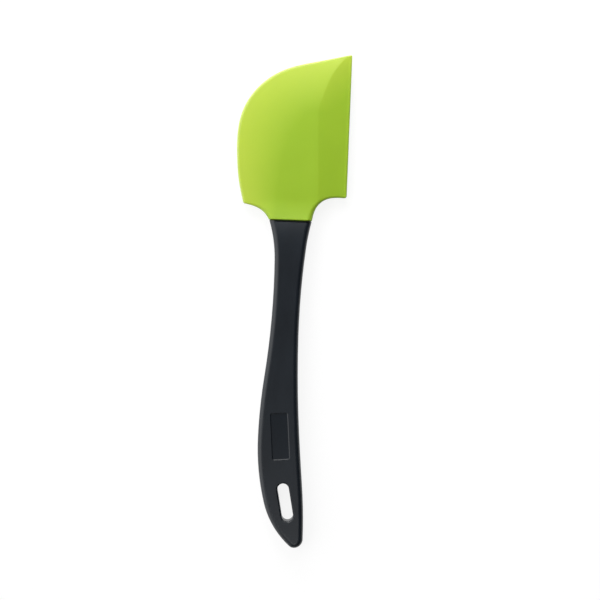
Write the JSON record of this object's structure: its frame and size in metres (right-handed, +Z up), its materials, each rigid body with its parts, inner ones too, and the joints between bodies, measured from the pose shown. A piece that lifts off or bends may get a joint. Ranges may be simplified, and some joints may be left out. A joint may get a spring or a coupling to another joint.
{
  "type": "silicone spatula",
  "caption": "Flat scraping spatula with a pull-off silicone blade, one side curved and one straight, on a bowed nylon handle with a hanging slot.",
  "frame": {"origin": "bottom centre of the whole spatula's bounding box, on the surface it lies on", "axes": "+Y from the hanging end towards the blade's tip; +Z up out of the front face; +X towards the blade's straight edge"},
  "size_m": [0.0632, 0.2798, 0.011],
  "materials": {
    "handle_nylon": "satin moulded glass-filled nylon, charcoal",
    "head_silicone": "satin moulded silicone, lime green"
  },
  "bodies": {
    "handle": {"handle": "handle_nylon"},
    "head": {"silicone_head": "head_silicone"}
  },
  "joints": [
    {"name": "head_pull_off", "type": "slide", "parent": "handle", "child": "head", "axis": [0, 1, 0], "range_m": [0, 0.06]}
  ]
}
